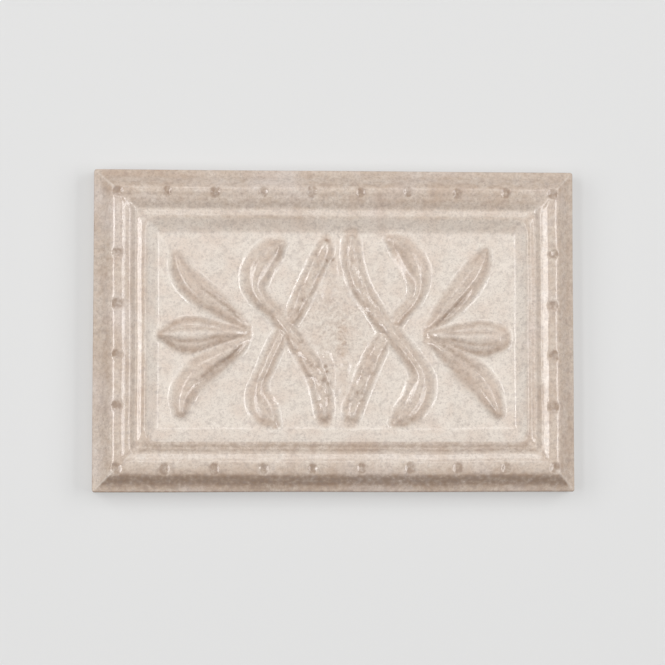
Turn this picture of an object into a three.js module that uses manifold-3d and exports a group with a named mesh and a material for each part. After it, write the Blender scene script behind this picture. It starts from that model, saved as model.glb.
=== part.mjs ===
// A glazed ceramic border tile, pressed and fired in one piece: a sunken panel with a raised ornament of two crossed
// laurel sprays between two palmettes, inside a picture-frame moulding with a row of round dents along its bead.
// Units are millimetres. The tile lies face up: +Z is up, X runs along its length, and the origin is the middle of
// its back.
import * as THREE from 'three';
import { mergeVertices } from 'three/addons/utils/BufferGeometryUtils.js';
import Module from 'manifold-3d';

const wasm = await Module();
wasm.setup();

// Blank: a nominal 6 by 4 inch tile
const tileLength = 152.4;
const tileWidth = 101.6;
const panelThickness = 7.8;
const outerCornerRadius = 0.6;
const panelCornerRadius = 2.2;
const edgeRounding = 0.5;

// Frame moulding from the outer edge inwards: the width in plan of each member
const rimWidth = 1.6;
const coveWidth = 4.3;
const shoulderWidth = 3.0;
const crownWidth = 2.5;
const lipWidth = 0.7;
const grooveWidth = 0.8;
const smallBeadWidth = 3.0;
const bevelWidth = 4.2;

// Frame moulding: heights over the panel
const rimHeight = 0.6;
const coveHeight = 3.5;
const crownHeight = 4.3;
const lipHeight = 3.3;
const grooveHeight = 1.9;
const bevelHeight = 2.3;

// Dents pressed into the shoulder of the bead: how far up the shoulder they lie, and the bare stretch between a
// corner dent and the row on the short side
const dentDiameter = 3.0;
const dentDepth = 1.0;
const dentSetback = 1.2;
const longSideDents = 8;
const shortSideDents = 4;
const shortRowEndGap = 19.5;

// Ornament: its clear space on the panel (the heart petals run up the bevel, so theirs is negative), the heights of
// its members over the panel, and how far they are rooted in it
const ornamentEndGap = -0.9;
const ornamentSideGap = 1.5;
const petalHeight = 2.0;
const heartHeight = 2.2;
const sprayHeight = 1.9;
const ornamentRoot = 1.2;

// Half widths of the ornament's members at the foot, where they are broadest
const petalHalfWidth = 5.0;
const heartHalfWidth = 7.0;
const sprayHalfWidth = 5.2;

// Where each member of the moulding starts, measured from the outer edge
const shoulderStart = rimWidth + coveWidth;
const crownStart = shoulderStart + shoulderWidth;
const lipStart = crownStart + crownWidth;
const grooveStart = lipStart + lipWidth;
const smallBeadStart = grooveStart + grooveWidth;
const bevelStart = smallBeadStart + smallBeadWidth;
const frameWidth = bevelStart + bevelWidth;

// How the height follows the way across a member, both from 0 to 1
const coveCurve = (t) => t ** 1.8;
const crownCurve = (t) => Math.sin((t * Math.PI) / 2);
const fallCurve = (t) => 1 - Math.cos((t * Math.PI) / 2);

// The small bead bulges past the height where it ends, by this much of its own rise
const smallBeadBulge = 1.6;
const smallBeadCurve = (t) => t + smallBeadBulge * Math.sin(t * Math.PI);

// A run of points across one member; both ends are [inset, height over the panel], and the first is left out.
function member([insetFrom, heightFrom], [insetTo, heightTo], steps, curve) {
  return Array.from({ length: steps }, (_, k) => {
    const t = (k + 1) / steps;
    return [THREE.MathUtils.lerp(insetFrom, insetTo, t), THREE.MathUtils.lerp(heightFrom, heightTo, curve(t))];
  });
}

// The frame's section as [inset, height over the panel], from the back's edge up, over the moulding and down
function frameSection() {
  const rimEnd = [rimWidth, rimHeight];
  const shoulder = [shoulderStart, coveHeight];
  const crown = [crownStart, crownHeight];
  const lip = [lipStart, lipHeight];
  const groove = [smallBeadStart, grooveHeight];
  return [
    [0, -panelThickness],
    [0, rimHeight - edgeRounding],
    [edgeRounding * 0.3, rimHeight - edgeRounding * 0.3],
    [edgeRounding, rimHeight],
    rimEnd,
    ...member(rimEnd, shoulder, 5, coveCurve),
    ...member(shoulder, crown, 3, crownCurve),
    ...member(crown, lip, 3, fallCurve),
    [grooveStart, grooveHeight],
    groove,
    ...member(groove, [bevelStart, bevelHeight], 4, smallBeadCurve),
    [frameWidth, 0],
  ];
}

// A rectangle with round corners, every point at one height, counter-clockwise seen from above
function roundedRing(inset, height) {
  const arcSteps = 4;
  const radius = THREE.MathUtils.lerp(outerCornerRadius, panelCornerRadius, inset / frameWidth);
  const cornerX = tileLength / 2 - inset - radius;
  const cornerY = tileWidth / 2 - inset - radius;
  const corners = [[1, 1], [-1, 1], [-1, -1], [1, -1]];
  return corners.flatMap(([signX, signY], quarter) =>
    Array.from({ length: arcSteps + 1 }, (_, k) => {
      const angle = ((quarter + k / arcSteps) * Math.PI) / 2;
      return new THREE.Vector3(
        signX * cornerX + radius * Math.cos(angle),
        signY * cornerY + radius * Math.sin(angle),
        panelThickness + height,
      );
    }),
  );
}

// Joins closed rings of the same number of points into one closed skin, with a flat cap on the first and last ring.
// The rings turn counter-clockwise seen from where the stack is heading.
function skin(rings) {
  const count = rings[0].length;
  const positions = rings.flat().flatMap((p) => [p.x, p.y, p.z]);
  const triangles = [];
  for (let ring = 0; ring + 1 < rings.length; ring++) {
    for (let k = 0; k < count; k++) {
      const a = ring * count + k;
      const b = ring * count + ((k + 1) % count);
      triangles.push(a, b, b + count, a, b + count, a + count);
    }
  }
  const top = (rings.length - 1) * count;
  for (let k = 1; k + 1 < count; k++) {
    triangles.push(0, k + 1, k);
    triangles.push(top, top + k, top + k + 1);
  }
  const geometry = new THREE.BufferGeometry();
  geometry.setAttribute('position', new THREE.Float32BufferAttribute(positions, 3));
  geometry.setIndex(triangles);
  return geometry;
}

function solidFrom(geometry) {
  const bare = geometry.clone();
  bare.deleteAttribute('normal');
  bare.deleteAttribute('uv');
  const merged = mergeVertices(bare, 1e-4);
  return new wasm.Manifold(
    new wasm.Mesh({
      numProp: 3,
      vertProperties: new Float32Array(merged.attributes.position.array),
      triVerts: new Uint32Array(merged.index.array),
    }),
  );
}

function geometryFrom(solid) {
  const mesh = solid.getMesh();
  const geometry = new THREE.BufferGeometry();
  geometry.setAttribute('position', new THREE.BufferAttribute(mesh.vertProperties, mesh.numProp));
  geometry.setIndex(new THREE.BufferAttribute(mesh.triVerts, 1));
  geometry.computeVertexNormals();
  return geometry;
}

// A low ridge along a smooth path, as wide and as high as the path's width shares say. Its foot lies a little below
// the panel, so that it grows out of it. Each station is [x, y, share of the full width].
function ridge({ stations, halfWidth, height, steps }) {
  const acrossSteps = 6;
  const sink = 0.3;
  const fullness = 1.2;
  const points = stations.map(([x, y, share]) => new THREE.Vector3(x, y, share * halfWidth));
  const curve = new THREE.CatmullRomCurve3(points, false, 'centripetal');
  const rings = Array.from({ length: steps + 1 }, (_, step) => {
    const station = curve.getPointAt(step / steps);
    const heading = curve.getTangentAt(step / steps).setZ(0).normalize();
    const reach = station.z;
    const crown = height * Math.min(1, (1.6 * reach) / halfWidth);
    const at = (side, z) =>
      new THREE.Vector3(
        station.x - heading.y * side * reach,
        station.y + heading.x * side * reach,
        panelThickness + z,
      );
    const arch = Array.from({ length: acrossSteps + 1 }, (_, k) => {
      const side = 1 - (2 * k) / acrossSteps;
      return at(side, (crown + sink) * Math.cos((side * Math.PI) / 2) ** fullness - sink);
    });
    return [at(-1, -ornamentRoot), at(1, -ornamentRoot), ...arch];
  });
  return solidFrom(skin(rings));
}

// The ornament on one half of the panel. Each station is [x, y, width]: shares of the ornament's half length and
// half width, counted from the middle of the panel, and of the member's own full width.
const upperPetal = {
  halfWidth: petalHalfWidth,
  height: petalHeight,
  steps: 10,
  stations: [[0.46, 0.03, 0.4], [0.64, 0.25, 0.8], [0.8, 0.47, 1], [0.87, 0.7, 0.75], [0.89, 0.92, 0.1]],
};
const heartPetal = {
  halfWidth: heartHalfWidth,
  height: heartHeight,
  steps: 10,
  stations: [[0.46, -0.02, 0.3], [0.6, -0.025, 0.5], [0.8, -0.035, 1], [0.92, -0.04, 0.75], [0.99, -0.045, 0.1]],
};
const lowerPetal = {
  halfWidth: petalHalfWidth,
  height: petalHeight,
  steps: 10,
  stations: [[0.46, -0.07, 0.4], [0.64, -0.3, 0.8], [0.8, -0.52, 1], [0.86, -0.74, 0.75], [0.88, -0.96, 0.1]],
};
const risingSpray = {
  halfWidth: sprayHalfWidth,
  height: sprayHeight,
  steps: 24,
  stations: [
    [0.067, -0.99, 0.1], [0.075, -0.8, 0.6], [0.105, -0.51, 0.7], [0.172, -0.29, 0.7], [0.239, -0.09, 0.58],
    [0.289, 0.07, 0.5], [0.386, 0.22, 0.5], [0.456, 0.41, 0.7], [0.447, 0.62, 1], [0.391, 0.83, 0.85],
    [0.28, 1, 0.1],
  ],
};
const fallingSpray = {
  halfWidth: sprayHalfWidth,
  height: sprayHeight,
  steps: 24,
  stations: [
    [0.055, 1, 0.1], [0.063, 0.85, 0.6], [0.102, 0.68, 0.7], [0.167, 0.47, 0.7], [0.228, 0.26, 0.58],
    [0.289, 0.05, 0.5], [0.36, -0.19, 0.55], [0.439, -0.43, 0.8], [0.467, -0.65, 1], [0.412, -0.85, 0.8],
    [0.3, -1, 0.1],
  ],
};

const ornamentHalfLength = tileLength / 2 - frameWidth - ornamentEndGap;
const ornamentHalfWidth = tileWidth / 2 - frameWidth - ornamentSideGap;

// Puts a member on one half of the panel: side is 1 for the right half and -1 for its mirror image.
function ridgeOn(side, shape) {
  const stations = shape.stations.map(([x, y, width]) => [
    side * x * ornamentHalfLength,
    y * ornamentHalfWidth,
    width,
  ]);
  return ridge({ ...shape, stations });
}

// Middles of the dents: one at each corner, an even row between them on the long sides, and on the short sides a row
// with a longer bare stretch at its ends
function dentMiddles() {
  const inset = shoulderStart + dentSetback;
  const x = tileLength / 2 - inset;
  const y = tileWidth / 2 - inset;
  const longPitch = (2 * x) / (longSideDents + 1);
  const longRow = Array.from({ length: longSideDents + 2 }, (_, k) => -x + k * longPitch);
  const shortHalf = y - shortRowEndGap;
  const shortPitch = (2 * shortHalf) / (shortSideDents - 1);
  const shortRow = Array.from({ length: shortSideDents }, (_, k) => -shortHalf + k * shortPitch);
  return [
    ...longRow.flatMap((along) => [[along, y], [along, -y]]),
    ...shortRow.flatMap((along) => [[x, along], [-x, along]]),
  ];
}

// A dent is the cap of a ball pressed into the shoulder of the bead.
function dentBalls() {
  const ballRadius = (dentDiameter ** 2 / 4 + dentDepth ** 2) / (2 * dentDepth);
  const ball = solidFrom(new THREE.SphereGeometry(ballRadius, 12, 8).rotateX(Math.PI / 2));
  const surface = THREE.MathUtils.lerp(coveHeight, crownHeight, crownCurve(dentSetback / shoulderWidth));
  const centreZ = panelThickness + surface - dentDepth + ballRadius;
  return dentMiddles().map(([x, y]) => ball.translate([x, y, centreZ]));
}

const blank = solidFrom(skin(frameSection().map(([inset, height]) => roundedRing(inset, height))));
const ornament = [upperPetal, heartPetal, lowerPetal, risingSpray, fallingSpray].flatMap((shape) => [
  ridgeOn(1, shape),
  ridgeOn(-1, shape),
]);
const raised = ornament.reduce((solid, ridgeSolid) => solid.add(ridgeSolid), blank);
const pressed = dentBalls().reduce((solid, ball) => solid.subtract(ball), raised);

const glaze = new THREE.MeshStandardMaterial({ color: 0xd8c9b8, roughness: 0.22, metalness: 0 });
const tile = new THREE.Mesh(geometryFrom(pressed), glaze);
tile.name = 'tile';

const borderTile = new THREE.Group();
borderTile.add(tile);

export default borderTile;
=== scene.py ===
# %% [markdown]
# # A glazed border tile
# The real tile is one piece of clay. A press squeezes it into a die that holds the frame, the
# panel and the leaves in reverse, and the glaze then runs thin over the high places and gathers
# in the low ones. Seen that way the whole face is one height over the back for each place in the
# plan. So the lesson works out one big array of heights, adds to it member by member, and only
# at the end turns the array into a mesh.

import math

import bpy
import numpy as np
from mathutils import Matrix, Vector


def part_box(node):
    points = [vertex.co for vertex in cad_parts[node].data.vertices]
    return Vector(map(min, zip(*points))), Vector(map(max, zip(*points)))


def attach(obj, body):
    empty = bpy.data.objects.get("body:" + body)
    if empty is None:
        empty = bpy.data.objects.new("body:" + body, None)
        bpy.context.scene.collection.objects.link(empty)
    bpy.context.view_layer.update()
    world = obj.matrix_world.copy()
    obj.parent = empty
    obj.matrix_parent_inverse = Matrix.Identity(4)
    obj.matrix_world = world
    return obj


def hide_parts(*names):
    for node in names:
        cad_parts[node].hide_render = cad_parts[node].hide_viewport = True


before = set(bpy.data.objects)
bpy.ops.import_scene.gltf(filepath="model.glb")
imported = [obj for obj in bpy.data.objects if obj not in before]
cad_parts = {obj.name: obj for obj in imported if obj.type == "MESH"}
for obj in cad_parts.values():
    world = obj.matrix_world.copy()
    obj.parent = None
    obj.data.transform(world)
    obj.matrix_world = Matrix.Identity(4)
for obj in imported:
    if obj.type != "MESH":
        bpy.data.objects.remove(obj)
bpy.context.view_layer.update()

METRES = 0.001
tile_low, tile_high = (np.array(corner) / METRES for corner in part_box("tile"))
half_length, half_width = (tile_high - tile_low)[:2] / 2
crown_top = tile_high[2]
print(f"tile {2 * half_length:.1f} by {2 * half_width:.1f} mm, {crown_top:.1f} mm at its crown")

# %% [markdown]
# ## The moulding's section
# A potter's frame is a picture frame: one section, run round the tile and mitred at the corners.
# The section is a height for each inset, that is for each distance from the outer edge. It is
# drawn as one smooth line through a few points: a flat rim, a hollow that turns into a broad
# bead, a groove, a small bead and a straight bevel. A narrow blur along the inset then rounds
# every arris the way a coat of glaze does.

# %% The section, in millimetres: inset from the edge, and height over the panel
CROWN_OVER_PANEL = 4.3
PANEL = crown_top - CROWN_OVER_PANEL
RIM_HEIGHT = 0.2
EDGE_ROUNDING = 0.5

RIM_END = 1.6
SHOULDER_START = 5.5
CROWN = 8.0
LIP = 11.5
GROOVE = 12.9
BEVEL_START = 16.0
PANEL_START = 20.1

HOLLOW = [
    (RIM_END, 0.72), (2.5, 1.26), (3.15, 1.86), (3.8, 2.5), (4.55, 3.24), (SHOULDER_START, 3.92)]
BEAD = [
    (6.0, 4.09), (6.6, 4.22), (7.2, 4.28), (CROWN, CROWN_OVER_PANEL), (8.5, 4.2), (9.0, 4.04),
    (9.5, 3.875), (10.0, 3.735), (10.6, 3.59), (11.1, 3.45), (LIP, 3.31)]
SMALL_BEAD = [
    (12.1, 2.78), (12.6, 2.3), (GROOVE, 2.14), (13.2, 2.15), (13.8, 2.3), (14.4, 2.46),
    (14.9, 2.58), (15.35, 2.56), (15.7, 2.46)]
BEVEL = [
    (BEVEL_START, 2.355), (16.3, 2.2), (16.8, 1.84), (18.2, 1.03), (19.1, 0.5), (19.45, 0.32),
    (20.1, 0.105), (20.4, 0.03), (20.8, 0.0), (21.7, 0.0)]


def smooth_path(stations, samples=10):
    """A Catmull-Rom curve: each cubic takes its slopes from the stations on both sides of it."""
    points = np.array(stations, dtype=float)
    padded = np.concatenate([2 * points[:1] - points[1:2], points, 2 * points[-1:] - points[-2:-1]])
    p0, p1, p2, p3 = (padded[k:len(padded) - 3 + k, None, :] for k in range(4))
    t = np.linspace(0, 1, samples, endpoint=False)[None, :, None]
    curve = 0.5 * (2 * p1 + (p2 - p0) * t + (2 * p0 - 5 * p1 + 4 * p2 - p3) * t ** 2
                   + (3 * p1 - p0 - 3 * p2 + p3) * t ** 3)
    return np.concatenate([curve.reshape(-1, points.shape[1]), points[-1:]])


section = smooth_path([(EDGE_ROUNDING, RIM_HEIGHT)] + HOLLOW + BEAD + SMALL_BEAD + BEVEL)
print("the section is drawn through", len(section), "points")

# %% Height for an inset
GLAZE_ROUNDING = 0.22
BLUR = [(-1.5, 0.1), (-0.75, 0.24), (0, 0.32), (0.75, 0.24), (1.5, 0.1)]


def moulding(inset):
    """Height over the panel: a quarter circle at the outer edge, the section's line inside it."""
    edge = np.clip(EDGE_ROUNDING - inset, 0, EDGE_ROUNDING)
    quarter = EDGE_ROUNDING - np.sqrt(EDGE_ROUNDING ** 2 - edge ** 2)
    return np.interp(inset, section[:, 0], section[:, 1]) - quarter


def glazed_moulding(inset):
    """The section averaged over five neighbouring insets, which rounds its arrises.

    The insets lie closer together near the outer edge, so that edge keeps its shape.
    """
    reach = np.minimum(GLAZE_ROUNDING, inset / 2)
    return sum(weight * moulding(inset + step * reach) for step, weight in BLUR)


print("section:", [round(float(glazed_moulding(np.array(inset))), 2) for inset in range(0, 22, 2)])

# %% [markdown]
# ## A grid that is fine where the shape is
# A plain even grid would waste its squares on the flat panel and cut across the arrises. Here
# the grid's lines run at fixed insets along the frame and evenly over the panel. The die sat a
# little off the middle of this tile, so the frame is broader on one side than on the other. Each
# side therefore stretches the same insets to its own width.

# %% Grid lines
LEFT_FRAME, RIGHT_FRAME = 20.8, 19.1
TOP_FRAME, BOTTOM_FRAME = 19.7, 20.4
FRAME_STEP = 0.34
PANEL_STEP = 0.49
EDGE_LINES = 5

edge_insets = EDGE_ROUNDING * (1 - np.cos(np.linspace(0, np.pi / 2, EDGE_LINES)))
frame_lines = round((PANEL_START - EDGE_ROUNDING) / FRAME_STEP) + 1
frame_insets = np.linspace(EDGE_ROUNDING, PANEL_START, frame_lines)
insets = np.concatenate([edge_insets, frame_insets[1:]])


def grid_lines(half, low_frame, high_frame):
    """Coordinates along one side: one frame's insets, the even panel, the other frame's insets."""
    start = insets * low_frame / PANEL_START - half
    stop = half - insets[::-1] * high_frame / PANEL_START
    steps = round((stop[0] - start[-1]) / PANEL_STEP)
    return np.concatenate([start, np.linspace(start[-1], stop[0], steps + 1)[1:-1], stop])


lines_x = grid_lines(half_length, LEFT_FRAME, RIGHT_FRAME)
lines_y = grid_lines(half_width, BOTTOM_FRAME, TOP_FRAME)
x, y = np.meshgrid(lines_x, lines_y)
print("grid of", x.shape[1], "by", x.shape[0], "lines")

# %% [markdown]
# ## The inset of each point
# The inset is the distance to the nearest side, so it is the smaller of two numbers, and the
# frame mitres by itself. The corners of the groove and the panel are a little round on the real
# tile. A soft minimum does that: near the diagonal, where the two numbers are nearly the same,
# it takes a bit off.

# %% Helpers: a share of the way, a soft minimum, an unevenness
WAVES = 7
# direction, phase and stretch of a wave
WAVE_LEAST = [[0], [0], [0.7]]
WAVE_MOST = [[6.3], [6.3], [1.4]]


def across(value, start, end):
    """How far a value lies between two others: 0 at the first, 1 at the second."""
    return np.clip((value - start) / (end - start), 0, 1)


def soft_minimum(a, b, softness):
    """The smaller of two, less a quarter of the softness where they are equal, fading round it."""
    closeness = np.clip(1 - np.abs(a - b) / softness, 0, 1)
    return np.minimum(a, b) - closeness ** 2 * softness / 4


def ripple(u, v, wavelength, seed):
    """Twice the mean of seven plane waves in random directions, so mostly between -1 and 1."""
    draws = np.random.default_rng(seed).uniform(WAVE_LEAST, WAVE_MOST, (3, WAVES))
    total = np.zeros_like(u)
    for angle, phase, stretch in zip(*draws):
        travel = u * np.cos(angle) + v * np.sin(angle)
        total += np.sin(travel * 2 * np.pi / (wavelength * stretch) + phase)
    return total / (WAVES / 2)


print("a ripple along 10 mm:", ripple(np.linspace(0, 10, 5), np.zeros(5), 9, 5).round(2))

# %% Insets with soft corners
OUTER_SOFTNESS = 0.3
PANEL_SOFTNESS = 4.5
SOFTEST_INSET = 15.4


def side_inset(value, half, low_frame, high_frame):
    """Distance from the nearer of two opposite sides, as a share of that side's frame width.

    It is given in millimetres of the nominal frame.
    """
    share = np.minimum((half + value) / low_frame, (half - value) / high_frame)
    return share * PANEL_START


inset_x = side_inset(x, half_length, LEFT_FRAME, RIGHT_FRAME)
inset_y = side_inset(y, half_width, BOTTOM_FRAME, TOP_FRAME)
nearest_side = np.minimum(inset_x, inset_y)
softened = across(nearest_side, LIP, SOFTEST_INSET) * across(nearest_side, PANEL_START, BEVEL_START)
corner_softness = OUTER_SOFTNESS + (PANEL_SOFTNESS - OUTER_SOFTNESS) * softened
inset = np.maximum(soft_minimum(inset_x, inset_y, corner_softness), 0)
print("deepest inset", round(float(inset.max()), 1), "mm, in the middle of the panel")

# %% [markdown]
# ## The hand in the die
# The real frame isn't the same on its four sides. Along the top the bead lies further out than
# elsewhere, and along the bottom and the right it lies further in. Four sections would do that,
# but one is enough: the inset gets a small shift on three sides before its height is looked up.
# The right bead has also lost a little of its inner side to wear.

# %% Shifts of the bead
HAND_DRIFT, DRIFT_WAVE, DRIFT_SEED = 0.16, 42, 3
MITRE_FADE = 2
SHIFT_GROWS = (5, 9)
TOP_SHIFT, TOP_SHIFT_FADES = 1.1, (LIP - 1.3, 13.0)
BOTTOM_SHIFT, BOTTOM_SHIFT_FADES = -0.7, (GROOVE + 0.6, 15.2)
BOTTOM_OVERSHOOT, OVERSHOOT_FADES = 0.8, (17, PANEL_START)
RIGHT_SHIFT, RIGHT_SHIFT_FADES = -0.5, (LIP, BEVEL_START - 1)


def band(grows, fades):
    """A strip of the frame: it grows from 0 to 1 over one pair of insets and fades over another."""
    return across(inset, *grows) - across(inset, *fades)


on_long_frame = across(inset_x - inset_y, -MITRE_FADE, MITRE_FADE)
overshoot = BOTTOM_OVERSHOOT * band(BOTTOM_SHIFT_FADES, OVERSHOOT_FADES)
top_shift = TOP_SHIFT * (y > 0) * band(SHIFT_GROWS, TOP_SHIFT_FADES)
bottom_shift = BOTTOM_SHIFT * (y < 0) * (band(SHIFT_GROWS, BOTTOM_SHIFT_FADES) - overshoot)
right_shift = RIGHT_SHIFT * (x > 0) * band(SHIFT_GROWS, RIGHT_SHIFT_FADES)
drift = HAND_DRIFT * ripple(x, y, DRIFT_WAVE, DRIFT_SEED) * across(inset, 0, RIM_END)
drift = drift + (top_shift + bottom_shift) * on_long_frame + right_shift * (1 - on_long_frame)
print("the bead shifts by", drift.min().round(2), "to", drift.max().round(2), "mm")

# %% Heights of the frame
RIGHT_BEAD_WEAR = 0.07
WEAR_GROWS, WEAR_FADES = (10.0, 11.0), (LIP + 0.5, LIP + 1.5)

face = glazed_moulding(np.maximum(inset + drift, 0))
worn = band(WEAR_GROWS, WEAR_FADES) * (x > 0) * (1 - on_long_frame)
face = face - RIGHT_BEAD_WEAR * worn
print("panel at 0, crown at", round(float(face.max()), 2))

# %% [markdown]
# ## The row of dents
# Round dents are pressed into the shoulder of the bead: one in each corner, eight between them
# on a long side and four on a short one. Each is a shallow bowl, steepest at its rim, where it
# catches a small light on both sides. They were pressed by hand, so each one sits a little off
# its mark.

# %% Dents along the bead
DENT_SETBACK = 1.8
DENT_DEPTH = 0.42
DENT_ALONG, DENT_ACROSS = 1.8, 2.15
CORNER_DENT_SIZE = 1.2
DENT_SCATTER = 0.25
SMALLEST_DENT, LARGEST_DENT = 0.9, 1.1
LONG_SIDE_DENTS = 8
SHORT_SIDE_DENTS = 4
SHORT_ROW_END_GAP = 19.5

dent_inset = (SHOULDER_START + DENT_SETBACK) / PANEL_START
dent_left = dent_inset * LEFT_FRAME - half_length
dent_right = half_length - dent_inset * RIGHT_FRAME
dent_bottom = dent_inset * BOTTOM_FRAME - half_width
dent_top = half_width - dent_inset * TOP_FRAME
short_low, short_high = dent_bottom + SHORT_ROW_END_GAP, dent_top - SHORT_ROW_END_GAP
long_row = np.linspace(dent_left, dent_right, LONG_SIDE_DENTS + 2)
short_row = np.linspace(short_low, short_high, SHORT_SIDE_DENTS)
dent_marks = [(along, level, True) for level in (dent_bottom, dent_top) for along in long_row]
dent_marks += [(level, along, False) for level in (dent_left, dent_right) for along in short_row]


def bowl(u, v):
    """A bowl: 1 less the radius to the power one and a half, so steepest at its rim, radius 1."""
    return np.clip(1 - (u ** 2 + v ** 2) ** 0.75, 0, 1)


dents = np.zeros_like(face)
shake = np.random.default_rng(11)
least = [-DENT_SCATTER, -DENT_SCATTER, SMALLEST_DENT]
most = [DENT_SCATTER, DENT_SCATTER, LARGEST_DENT]
for mark_x, mark_y, on_long_side in dent_marks:
    off_x, off_y, size = shake.uniform(least, most)
    reach_x, reach_y = (DENT_ALONG, DENT_ACROSS) if on_long_side else (DENT_ACROSS, DENT_ALONG)
    if mark_x in (dent_left, dent_right) and on_long_side:
        reach_x = reach_y = DENT_ALONG * CORNER_DENT_SIZE
    dent = bowl((x - mark_x - off_x) / (reach_x * size), (y - mark_y - off_y) / (reach_y * size))
    dents = np.maximum(dents, dent)
face = face - DENT_DEPTH * dents
print(len(dent_marks), "dents")

# %% [markdown]
# ## A ridge along a path
# Every petal, stem and leaf is a ridge that follows a path and swells and narrows on the way.
# For each point of the grid the nearest place on the path is found, and two numbers say where
# the point lies: how far along, and how far to the left or right in half widths. The shape of
# the ridge is then a short formula in those two numbers.

# %% Distances from a path


def nearest_on_path(stations, margin):
    """Where the grid points near a path lie: along it, aside of it, and how wide it is there.

    Each point is dropped squarely on every step of the path, and the shortest drop is kept.
    Aside is positive to the path's left. The path's length comes last.
    """
    path = smooth_path(stations)
    low = path[:, :2].min(axis=0) - margin
    high = path[:, :2].max(axis=0) + margin
    near = (x > low[0]) & (x < high[0]) & (y > low[1]) & (y < high[1])
    points = np.stack([x[near], y[near]], axis=-1)
    start, step = path[:-1, :2], np.diff(path[:, :2], axis=0)
    squared = (step ** 2).sum(axis=1)
    offset = points[:, None, :] - start[None]
    share = np.clip((offset * step).sum(axis=2) / squared, 0, 1)
    away = offset - share[..., None] * step
    distance = np.hypot(away[..., 0], away[..., 1])
    best = distance.argmin(axis=1)
    row = np.arange(len(points))
    lengths = np.concatenate([[0], np.cumsum(np.sqrt(squared))])
    along = lengths[best] + share[row, best] * np.sqrt(squared[best])
    turn = step[best, 0] * away[row, best, 1] - step[best, 1] * away[row, best, 0]
    half = path[best, 2] + share[row, best] * (path[best + 1, 2] - path[best, 2])
    return near, along / lengths[-1], np.sign(turn) * distance[row, best], half, lengths[-1]


found = nearest_on_path([(0, 0, 1), (10, 5, 2), (20, 0, 1)], 3)
print(int(found[0].sum()), "points lie near a trial path", round(float(found[-1]), 1), "mm long")

# %% Profiles
FOOT = 1.9


def eased(value):
    """Smooth step: 0 below 0, 1 above 1, and three squares less two cubes between."""
    value = np.clip(value, 0, 1)
    return value ** 2 * (3 - 2 * value)


def groove(distance, width):
    """A soft round groove: 1 at its middle, falling like a bell over its width."""
    return np.exp(-(distance / width) ** 2)


def ridge(side, half, foot=FOOT):
    """A bank 1 high: mostly the smooth step from its foot to its middle, partly a power curve."""
    share = np.clip(np.abs(side) / (half + foot), 0, 1)
    return 0.85 * (1 - eased(share)) + 0.15 * (1 - share ** 1.8)


print("a ridge's heights across its side:", ridge(np.linspace(0, 6, 5), 4.1).round(2))

# %% [markdown]
# ## Where the ornament is raised and where it is stained
# The height and the stain are built up together. Raised tops lose their white glaze and show
# brown, and creases hold a dark line of it. So each member writes into three arrays: its height,
# how brown its top is, and how dark.

# %% Arrays for the ornament
ORNAMENT_CENTRE = (0.7, 0.2)
LOW_PART, HIGH_PART = 0.6, 1.2
SLOPE_TINT = 0.6

relief = np.zeros_like(face)
brown = np.zeros_like(face)
pooled_and_shade = np.zeros_like(face)


def placed(stations):
    """Moves stations of x, y and half width to the ornament's middle, a little off the panel's."""
    return [(px + ORNAMENT_CENTRE[0], py + ORNAMENT_CENTRE[1], half) for px, py, half in stations]


def lay(near, height, stain, dark):
    """Adds a member where it is the highest so far, and tints what stands beside it elsewhere.

    Where it wins, its dark replaces what was there, and it hides the brown unless it is low
    itself. Where it loses and is high, it still clears the dark.
    """
    wins = height > relief[near]
    raised = np.maximum(stain, brown[near] * (height < LOW_PART))
    beside = np.maximum(brown[near], stain * SLOPE_TINT)
    brown[near] = np.where(wins, raised, beside)
    pooled_and_shade[near] = np.where(wins, dark, pooled_and_shade[near] * (height < HIGH_PART))
    relief[near] = np.maximum(relief[near], height)


def top_stain(side, half):
    """Brown inside six tenths of the half width, fading to cream on the slope outside it.

    A faint line near the rim makes it a little browner there.
    """
    inside = 1 - eased((np.abs(side) - half * 0.6) / (half * 0.4 + FOOT * 0.6))
    return 0.85 * inside + 0.15 * groove(np.abs(side) - half * 0.9, 0.9)


print(relief.size, "points wait for the ornament")

# %% [markdown]
# ## The palmettes
# Each end of the panel holds a palmette of three petals. The outer two are curved blades with a
# vein pressed along them. The heart petal is a drop with a raised rim, and an almond with a fine
# keel inside it.

# %% Paths of the petals: x, y and half width
LEFT_UPPER_PETAL = [
    (-28.2, 0.8, 0.8), (-33.2, 4.5, 2.1), (-37.8, 8.0, 3.3), (-42.7, 11.2, 3.9),
    (-47.0, 15.2, 3.6), (-49.8, 19.6, 2.4), (-51.0, 23.4, 0.5)]
LEFT_LOWER_PETAL = [
    (-28.2, -2.4, 0.9), (-32.7, -6.2, 2.3), (-37.8, -9.3, 3.8), (-42.8, -12.7, 4.5),
    (-46.8, -17.1, 4.0), (-48.9, -21.7, 3.0), (-49.2, -25.6, 1.5)]
LEFT_HEART_PETAL = [
    (-28.2, -0.9, 0.8), (-34, -0.9, 2.1), (-40, -1.3, 4.0), (-45.6, -1.6, 5.3),
    (-50.2, -1.6, 4.6), (-53.8, -1.5, 2.2), (-55.6, -1.5, 0.5)]
RIGHT_UPPER_PETAL = [
    (28.4, 0.2, 0.7), (31.4, 2.6, 1.6), (34.2, 5.9, 2.9), (37.5, 9.9, 3.9), (40.7, 13.8, 4.2),
    (43.7, 18.0, 3.7), (46.0, 22.0, 2.4), (47.2, 25.2, 0.5)]
RIGHT_LOWER_PETAL = [
    (28.4, -3.0, 0.7), (31.6, -4.4, 1.4), (35.6, -7.5, 2.9), (39.8, -10.8, 4.0),
    (43.9, -14.3, 4.5), (47.3, -18.6, 4.0), (49.6, -22.9, 2.6), (51.0, -26.0, 1.0)]
RIGHT_HEART_PETAL = [
    (28.4, -1.2, 0.7), (33.5, -1.7, 2.0), (38.5, -2.2, 3.6), (43.5, -2.5, 4.9), (48, -2.5, 5.0),
    (51.0, -2.4, 3.8)]
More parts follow.
